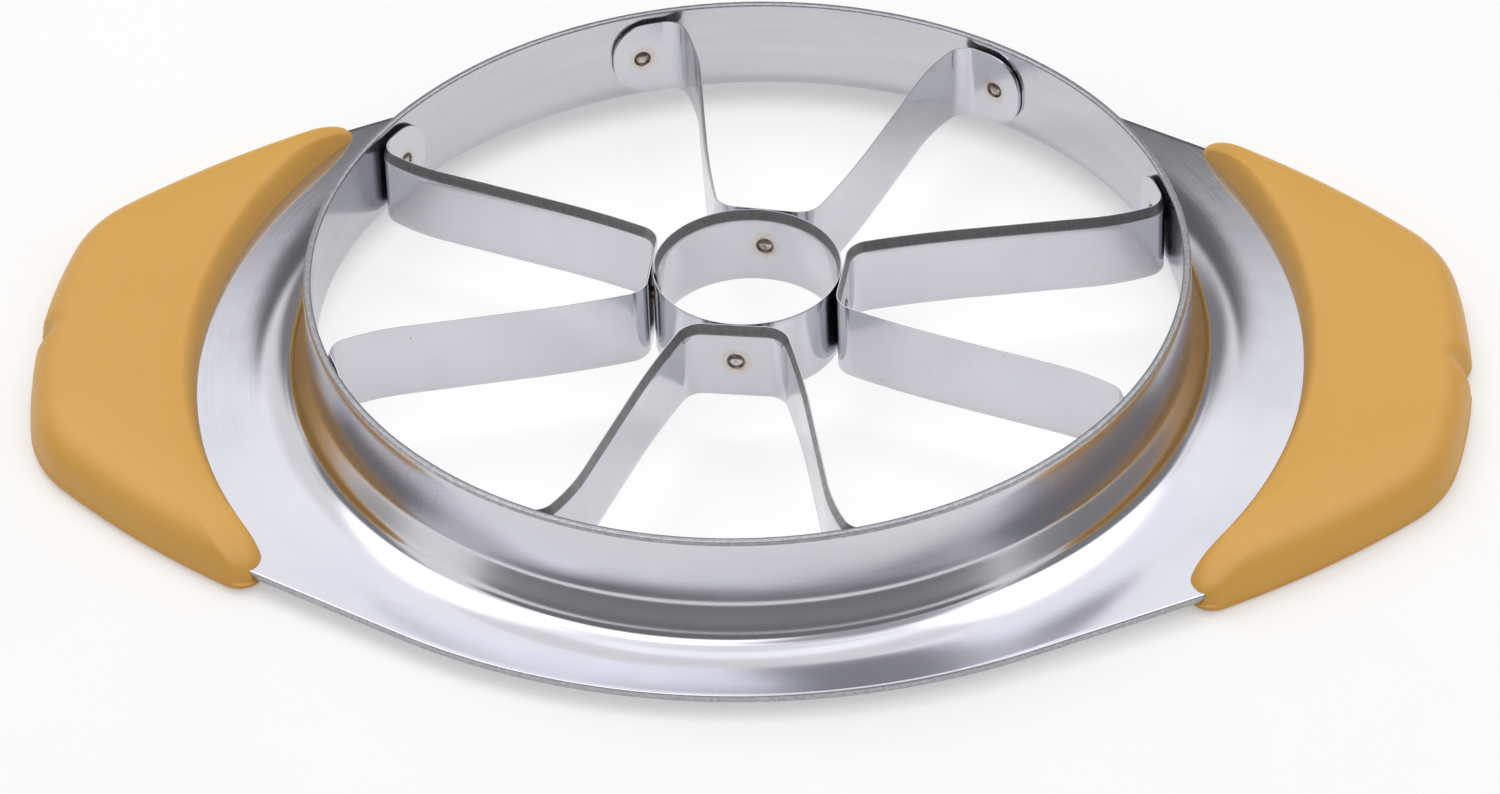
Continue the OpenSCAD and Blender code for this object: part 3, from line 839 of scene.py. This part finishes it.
def grip_half(d, inner_r, nose_r):
    """Half of a grip's outline drawn in by d, from its inner edge round to the notch."""
    out = GRIP_PROUD - d - OUTER_MORE * min(d, EDGE_ROUND)
    r = max(nose_r - NOSE_SHARE * d, LEAST_NOSE)
    inner_c = np.array([GRIP_IN_X - inner_r, 0])
    inner_r += INNER_SHARE * d
    c = meet(shoulder_c, SHOULDER_R + out - r, inner_c, inner_r + r)
    inner_a, outer_a = angle_of(c - inner_c), angle_of(c - shoulder_c)
    notch_a = math.degrees(math.asin(NOTCH_W / 2 / (END_R + out)))
    parts = [
        arc(inner_c, inner_r, 0, inner_a, 70),
        arc(c, r, inner_a + 180, outer_a, 26),
        arc(shoulder_c, SHOULDER_R + out, outer_a, shoulder_a, 40),
        arc(corner_c, CORNER_R + out, shoulder_a, corner_a, 40),
        arc(end_c, END_R + out, corner_a, notch_a, 12),
    ]
    notch = []
    for s in np.linspace(0, 1, 12):
        dip = NOTCH_DIP * max(0, 1 - d / EDGE_ROUND) * (3 * s**2 - 2 * s**3)
        notch.append(end_c + polar(END_R + out - dip, notch_a * (1 - s)))
    return np.concatenate(parts + [np.array(notch)])


def grip_ring(z, d):
    """A grip's whole outline at height z, drawn in by d."""
    front = grip_half(d, FRONT_INNER_R, FRONT_NOSE_R) * np.array([1, -1])
    back = grip_half(d, BACK_INNER_R, BACK_NOSE_R)
    loop = np.concatenate([back, front[-2:0:-1]])
    return np.column_stack([loop, np.full(len(loop), z)])


def grip(side):
    rise = GRIP_TOP - LIP_TOP - CROWN_H
    levels = [(GRIP_TOP - CROWN_H * (1 - s) ** 2, EDGE_ROUND + CROWN_W * s)
              for s in np.linspace(1, 0, count(8) + 1)[:-1]]
    for a in np.radians(np.linspace(90, 0, count(18) + 1)):
        up, along_d = math.sin(a) ** (2 / ROUNDNESS), math.cos(a) ** (2 / ROUNDNESS)
        levels.append((LIP_TOP + rise * up, EDGE_ROUND - (EDGE_ROUND - PARTING) * along_d))
    levels += zip(LIP_LEVELS, (0.0, 0.0, PARTING))
    for a in np.radians(np.linspace(0, 90, count(6) + 1)):
        levels.append((LOWER_ROUND * (1 - math.sin(a)), PARTING + LOWER_ROUND * (1 - math.cos(a))))
    rings = np.array([grip_ring(z, d) for z, d in levels])
    y, z = rings[..., 1] - GATE_AT[0], rings[..., 2] - GATE_AT[1]
    gate = np.exp(-(y / GATE_SIZE[0]) ** 4 - (z / GATE_SIZE[1]) ** 4) * (rings[..., 0] > HALF_LEN - 3)
    rings[..., 0] += gate * (GATE_OUT + GATE_ROUGH * wobble(rings, 0.5, 3)) * NOTCH_DEPTH
    if side == "left":
        rings = rings * np.array([-1, 1, 1]) - np.array([0, LEFT_SHIFT, 0])
    obj = make_object(side + "_grip", rings, loft(rings, False), sharp=50)
    # the distance in from the outline, by which the material paints shade on the rounded edges
    keep_values(obj, "edge_shade_mm", np.repeat([d for _, d in levels], rings.shape[1]))
    keep_values(obj, "gate", gate.ravel())
    dress(obj, "grip_" + side, "grip_plastic", MATERIALS["plastic"])


# ---- studio ----
FOCAL_PX = 7440.07                       # focal length for a picture 1500 pixels wide
PICTURE_W = 1500
CAMERA_AZ, CAMERA_EL, CAMERA_ROLL = 5.71642, 38.56242, -2.13735
CAMERA_AT = Vector((68.548, -686.825, 546.605)) * MM


def make_camera():
    data = bpy.data.cameras.new("camera")
    data.sensor_width = 36
    data.lens = FOCAL_PX * data.sensor_width / PICTURE_W
    data.clip_start, data.clip_end = 0.05, 20
    az, el, roll = (math.radians(a) for a in (CAMERA_AZ, CAMERA_EL, CAMERA_ROLL))
    back = Vector((math.sin(az) * math.cos(el), -math.cos(az) * math.cos(el), math.sin(el)))
    right = (-back).cross(Vector((0, 0, 1))).normalized()
    up = right.cross(-back)
    across = math.cos(roll) * right + math.sin(roll) * up
    upward = -math.sin(roll) * right + math.cos(roll) * up
    obj = bpy.data.objects.new("camera", data)
    bpy.context.scene.collection.objects.link(obj)
    turned = Matrix((across, upward, back)).transposed().to_4x4()
    obj.matrix_world = Matrix.Translation(CAMERA_AT) @ turned
    bpy.context.scene.camera = obj


FLOOR_SIZE = 6.0                         # in metres, like the other sizes of the studio
FLOOR_GAP = 0.03 * MM                    # keeps the floor out of the grips' undersides
FLOOR_LIFT = 0.335                       # share of the floor's white that shadows don't reach
OPENING_PAINTED_LIGHT = 0.36                      # painted light: what that share gains inside the collar, where the collar's shade would fall
GLOSS_LIFT = 0.30                        # that share as metal mirrors it
WORLD_FILL = 0.45                        # the world's light on the object
LAMP_DISTANCE = 1.3
CARD_BLUE = 1.04                         # a card's blue, of its red and green


def seen_share(nodes, links):
    """1 for rays that show the background: from the camera, in gloss and through glass."""
    path = nodes.new("ShaderNodeLightPath")
    total = path.outputs["Is Camera Ray"]
    for name in ("Is Glossy Ray", "Is Transmission Ray"):
        node = nodes.new("ShaderNodeMath")
        node.operation = "MAXIMUM"
        links.new(total, node.inputs[0])
        links.new(path.outputs[name], node.inputs[1])
        total = node.outputs[0]
    return total


def floor_material():
    """White, with the part that shadows don't reach as a glow that lights nothing, and painted light
    inside the collar: less white and more glow there, so its shade hardly shows.
    """
    t = Tree("white_floor")
    path = t.nodes.new("ShaderNodeLightPath")
    seen = path.outputs["Is Camera Ray"]
    grain = t.noise(t.place, 30, 3)
    far = t.nodes.new("ShaderNodeVectorMath")
    far.operation = "LENGTH"
    t.links.new(t.place, far.inputs[0])
    # painted light: 1 inside the collar, where the floor gets less white and more glow
    collar_glow_share = t.remap(far.outputs["Value"], (RIM_R + 5) * MM, WALL_IN * MM)
    pale = t.mix(t.remap(grain, 0.3, 0.7), (0.705, 0.705, 0.705), (0.715, 0.715, 0.715))
    pale = t.mix(collar_glow_share, pale, (0.38, 0.38, 0.38))
    base = t.mix(seen, (0.80, 0.80, 0.80), pale)
    lift = t.math("ADD", t.math("MULTIPLY", collar_glow_share, OPENING_PAINTED_LIGHT), FLOOR_LIFT)
    glow = t.math("ADD", t.math("MULTIPLY", seen, lift),
                  t.math("MULTIPLY", path.outputs["Is Glossy Ray"], GLOSS_LIFT))
    return t.finish(Base_Color=base, Roughness=0.9, Specular_IOR_Level=0.1,
                    Emission_Color=(1.0, 1.0, 1.0, 1.0), Emission_Strength=glow)


def sheet_object(name, width, height, cells):
    """A flat grid of cells in its own XY plane."""
    mesh = bpy.data.meshes.new(name)
    work = bmesh.new()
    bmesh.ops.create_grid(work, x_segments=cells, y_segments=cells, size=0.5)
    bmesh.ops.scale(work, verts=work.verts, vec=(width, height, 1))
    work.to_mesh(mesh)
    work.free()
    obj = bpy.data.objects.new(name, mesh)
    bpy.context.scene.collection.objects.link(obj)
    return obj


def make_floor():
    floor = sheet_object("floor", FLOOR_SIZE, FLOOR_SIZE, 4)
    floor.location.z = -FLOOR_GAP
    floor.data.materials.append(floor_material())


def aim(obj, azimuth, elevation, distance):
    """Puts obj on a sphere round the object, facing its middle. Azimuth 0 is the front."""
    a, e = math.radians(azimuth), math.radians(elevation)
    way = Vector((math.sin(a) * math.cos(e), -math.cos(a) * math.cos(e), math.sin(e)))
    obj.location = way * distance
    obj.rotation_euler = way.to_track_quat("Z", "Y").to_euler()


def studio_card(name, azimuth, elevation, width, height, level, softs=(0.28, 0.28), distance=0.7):
    """A card that only gloss sees, as the parts of a studio show in metal. Its edges fade over
    the shares of its width and height in softs."""
    card = sheet_object(name, width, height, 2)
    aim(card, azimuth, elevation, distance)
    t = Tree(name)
    t.nodes.remove(t.shader)
    shares = []
    for side, soft in zip(t.split(t.place.node.outputs["Generated"]), softs):
        off = t.math("ABSOLUTE", t.math("SUBTRACT", side, 0.5))
        shares.append(t.remap(off, 0.5, 0.5 - soft))
    clear = t.nodes.new("ShaderNodeBsdfTransparent")
    glow = t.nodes.new("ShaderNodeEmission")
    glow.inputs["Color"].default_value = (level, level, CARD_BLUE * level, 1)
    mixer = t.nodes.new("ShaderNodeMixShader")
    t.links.new(t.math("MULTIPLY", *shares), mixer.inputs[0])
    t.links.new(clear.outputs[0], mixer.inputs[1])
    t.links.new(glow.outputs[0], mixer.inputs[2])
    t.links.new(mixer.outputs[0], t.nodes["Material Output"].inputs["Surface"])
    card.data.materials.append(t.material)
    card.visible_camera = card.visible_diffuse = card.visible_shadow = False
    card.visible_transmission = card.visible_volume_scatter = False


def soft_lamp(name, azimuth, elevation, size, glow):
    """A round soft box of that diameter, as bright as a white of strength glow. Gloss doesn't
    see it: the cards stand for what the metal mirrors."""
    data = bpy.data.lights.new(name, "AREA")
    data.shape = "DISK"
    data.size = size
    data.energy = glow * math.pi**2 * (size / 2) ** 2
    lamp = bpy.data.objects.new(name, data)
    bpy.context.scene.collection.objects.link(lamp)
    lamp.visible_glossy = False
    aim(lamp, azimuth, elevation, LAMP_DISTANCE)


def make_world():
    world = bpy.data.worlds.new("studio")
    bpy.context.scene.world = world
    world.use_nodes = True
    nodes, links = world.node_tree.nodes, world.node_tree.links
    background = nodes["Background"]
    background.inputs["Color"].default_value = (1, 1, 1, 1)
    ramp = nodes.new("ShaderNodeMapRange")
    ramp.inputs["To Min"].default_value = WORLD_FILL
    links.new(seen_share(nodes, links), ramp.inputs["Value"])
    links.new(ramp.outputs[0], background.inputs["Strength"])


def make_studio():
    make_camera()
    make_floor()
    make_world()
    soft_lamp("key", -146, 58, 1.0, 2.0)
    soft_lamp("front", 15, 48, 1.0, 0.30)
    soft_lamp("top", 70, 68, 1.6, 0.75)
    studio_card("sky_back", 175, 54, 1.5, 0.62, level=1.25, softs=(0.15, 0.10), distance=0.95)
    studio_card("sky_top", 0, 89, 1.0, 0.26, level=1.4, softs=(0.3, 0.3), distance=0.95)
    studio_card("sky_front", -18, 57, 1.2, 0.72, level=1.95, softs=(0.12, 0.2), distance=0.9)
    studio_card("sky_left", -76, 53, 1.10, 0.56, level=1.95, softs=(0.12, 0.2), distance=0.85)
    studio_card("sky_right", 97, 57, 0.85, 0.50, level=1.95, softs=(0.2, 0.08), distance=0.85)
    studio_card("dark_front", 0, 17.5, 2.3, 0.53, level=0.20, softs=(0.06, 0.06))
    studio_card("dark_photographer", 34, 50, 0.55, 0.66, level=0.48, softs=(0.3, 0.3), distance=0.65)
    studio_card("dark_right", 95, 19, 0.9, 0.58, level=0.27, softs=(0.2, 0.06))
    studio_card("dark_left", -98, 20, 0.6, 0.55, level=0.25)
    studio_card("dark_back", 184.5, 17.1, 0.62, 0.50, level=0.15, softs=(0.12, 0.015))
    studio_card("dark_back_left", -140, 11, 0.6, 0.36, level=0.26, softs=(0.28, 0.3))
    studio_card("dark_back_right", 140, 13.5, 0.6, 0.46, level=0.27, softs=(0.28, 0.25))
    bpy.context.scene.view_settings.view_transform = "Standard"


MATERIALS = {
    "cut": cut_steel(),
    "sheet": sheet_steel(),
    "inner": inner_steel(),
    "strip": strip_steel(),
    "ground": ground_steel(),
    "weld": weld_steel(),
    "plastic": grip_plastic(),
}


def build():
    dress(steel_plate(), "frame_plate", "sheet_steel",
          MATERIALS["cut"], MATERIALS["sheet"], MATERIALS["inner"])
    for side in BLADES:
        blade(side)
    rolled_ring()
    welds()
    for side in ("left", "right"):
        grip(side)


build()
make_studio()
